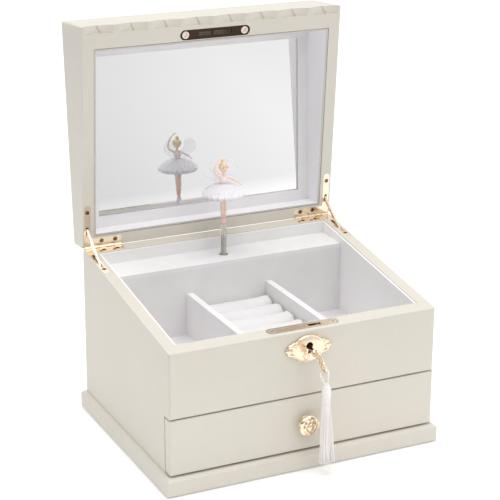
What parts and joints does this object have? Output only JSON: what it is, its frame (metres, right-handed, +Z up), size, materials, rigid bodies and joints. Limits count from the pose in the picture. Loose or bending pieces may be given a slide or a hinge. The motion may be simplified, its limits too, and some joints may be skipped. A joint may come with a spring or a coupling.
{
  "type": "ballerina jewellery box",
  "caption": "Wooden jewellery box with a mirrored lid that folds a dancing ballerina down as it closes, a lined tray with a ring cushion, a lock with its tasselled key, and a drawer.",
  "frame": {"origin": "middle of the underside, on the surface the box stands on", "axes": "+Z up; the front with the lock and the drawer faces -Y; +X is the box's width, to the right seen from the front"},
  "size_m": [0.2178, 0.2264, 0.3006],
  "materials": {
    "painted_wood": "painted ivory, satin",
    "plain_wood": "bare, sanded",
    "suede": "flocked off-white suede cloth",
    "grey_board": "pale grey cloth over board",
    "felt": "matt felt",
    "gold_fittings": "polished pale rose gold",
    "movement_brass": "satin",
    "movement_steel": "nickelled satin",
    "spring_wire": "dull grey wire",
    "clear_plastic": "clear",
    "doll_plastic": "painted peach, semi-gloss",
    "doll_hair": "painted blonde",
    "net": "fine white net",
    "mirror": "silvered glass",
    "silk": "white silk thread"
  },
  "bodies": {
    "case": {"base_felt": "felt", "plinth_board": "painted_wood", "case_left": "painted_wood", "case_right": "painted_wood", "case_back": "painted_wood", "case_front": "painted_wood", "tray_board": "plain_wood", "floor_pad": "suede", "lining_front": "suede", "lining_sides": "suede", "lining_back": "suede", "music_shelf": "suede", "music_screen": "grey_board", "dividers": "suede", "ring_cushion": "suede", "movement_bedplate": "movement_steel", "movement_screws": "movement_steel", "tone_comb": "movement_steel", "governor_frame": "movement_steel", "case_leaves": "gold_fittings", "case_screws": "gold_fittings", "hinge_pins": "gold_fittings", "lock_plate": "gold_fittings", "lock_case": "movement_steel", "escutcheon": "gold_fittings"},
    "lid": {"lid_top": "painted_wood", "lid_front": "painted_wood", "lid_back": "painted_wood", "lid_left": "painted_wood", "lid_right": "painted_wood", "lid_lining": "suede", "mirror_mat": "suede", "mirror_glass": "mirror", "strike_plate": "gold_fittings", "lid_leaves": "gold_fittings", "lid_screws": "gold_fittings"},
    "left_stay": {"left_stay": "gold_fittings"},
    "right_stay": {"right_stay": "gold_fittings"},
    "spindle": {"spindle_spring": "spring_wire"},
    "dancer": {"clear_socket": "clear_plastic", "ballerina_figure": "doll_plastic", "ballerina_hair": "doll_hair", "tutu": "net", "wings": "net"},
    "cylinder": {"music_cylinder": "movement_brass"},
    "barrel": {"spring_barrel": "movement_brass"},
    "winder": {"winding_arbor": "movement_steel", "winding_key": "gold_fittings"},
    "governor_wheel": {"governor_wheel": "movement_brass"},
    "governor_fly": {"governor_fly": "movement_steel"},
    "bolt": {"lock_bolt": "movement_steel"},
    "key": {"key": "gold_fittings"},
    "tassel": {"tassel_cord": "silk", "tassel": "silk"},
    "drawer": {"drawer_front": "painted_wood", "drawer_sides": "plain_wood", "drawer_back": "plain_wood", "drawer_bottom": "plain_wood", "drawer_lining": "suede", "drawer_knob": "gold_fittings"}
  },
  "joints": [
    {"name": "lid_hinge", "type": "hinge", "parent": "case", "child": "lid", "pos_m": [0, 0.082, 0.1296], "axis": [1, 0, 0], "range_deg": [0, 94.4]},
    {"name": "left_stay_pivot", "type": "hinge", "parent": "lid", "child": "left_stay", "pos_m": [-0.10135, 0.08245, 0.14346], "axis": [1, 0, 0], "range_deg": [-47.5, 0]},
    {"name": "right_stay_pivot", "type": "hinge", "parent": "lid", "child": "right_stay", "pos_m": [0.10135, 0.08245, 0.14346], "axis": [1, 0, 0], "range_deg": [-47.5, 0]},
    {"name": "figure_fold", "type": "hinge", "parent": "case", "child": "spindle", "pos_m": [0, 0.057, 0.1192], "axis": [1, 0, 0], "range_deg": [0, 90], "deforming": ["spindle_spring"]},
    {"name": "ballerina_spin", "type": "hinge", "parent": "spindle", "child": "dancer", "pos_m": [0, 0.057, 0.1344], "axis": [0, 0, 1], "continuous": true},
    {"name": "cylinder_spin", "type": "hinge", "parent": "case", "child": "cylinder", "pos_m": [0, 0.057, 0.096], "axis": [0, 0, 1], "continuous": true},
    {"name": "barrel_spin", "type": "hinge", "parent": "case", "child": "barrel", "pos_m": [0, 0.066, 0.075], "axis": [0, 1, 0], "continuous": true},
    {"name": "governor_wheel_spin", "type": "hinge", "parent": "case", "child": "governor_wheel", "pos_m": [-0.01, 0.057, 0.1], "axis": [0, 0, 1], "continuous": true},
    {"name": "governor_fly_spin", "type": "hinge", "parent": "case", "child": "governor_fly", "pos_m": [-0.018, 0.057, 0.1], "axis": [0, 0, 1], "continuous": true},
    {"name": "winder_turn", "type": "hinge", "parent": "case", "child": "winder", "pos_m": [0, 0.082, 0.075], "axis": [0, 1, 0], "continuous": true},
    {"name": "drawer_slide", "type": "slide", "parent": "case", "child": "drawer", "axis": [0, -1, 0], "range_m": [0, 0.11], "deforming": ["tassel"]},
    {"name": "bolt_turn", "type": "hinge", "parent": "case", "child": "bolt", "pos_m": [0.0008, -0.075, 0.0955], "axis": [0, -1, 0], "range_deg": [-22, 90]},
    {"name": "key_turn", "type": "hinge", "parent": "case", "child": "key", "pos_m": [0.0008, -0.0831, 0.0953], "axis": [0, -0.9511, -0.309], "range_deg": [-22, 90]},
    {"name": "tassel_swing", "type": "hinge", "parent": "key", "child": "tassel", "pos_m": [0.00526, -0.09871, 0.07863], "axis": [0, -0.9511, -0.309], "range_deg": [-90, 22]}
  ],
  "couplings": [
    {"joint": "left_stay_pivot", "follows": "lid_hinge", "ratio": -0.5},
    {"joint": "right_stay_pivot", "follows": "lid_hinge", "ratio": -0.5},
    {"joint": "figure_fold", "follows": "lid_hinge", "ratio": 0.95},
    {"joint": "ballerina_spin", "follows": "cylinder_spin", "ratio": 1},
    {"joint": "barrel_spin", "follows": "cylinder_spin", "ratio": -0.5},
    {"joint": "governor_wheel_spin", "follows": "cylinder_spin", "ratio": -4},
    {"joint": "governor_fly_spin", "follows": "cylinder_spin", "ratio": 12},
    {"joint": "bolt_turn", "follows": "key_turn", "ratio": 1},
    {"joint": "tassel_swing", "follows": "key_turn", "ratio": -1}
  ]
}
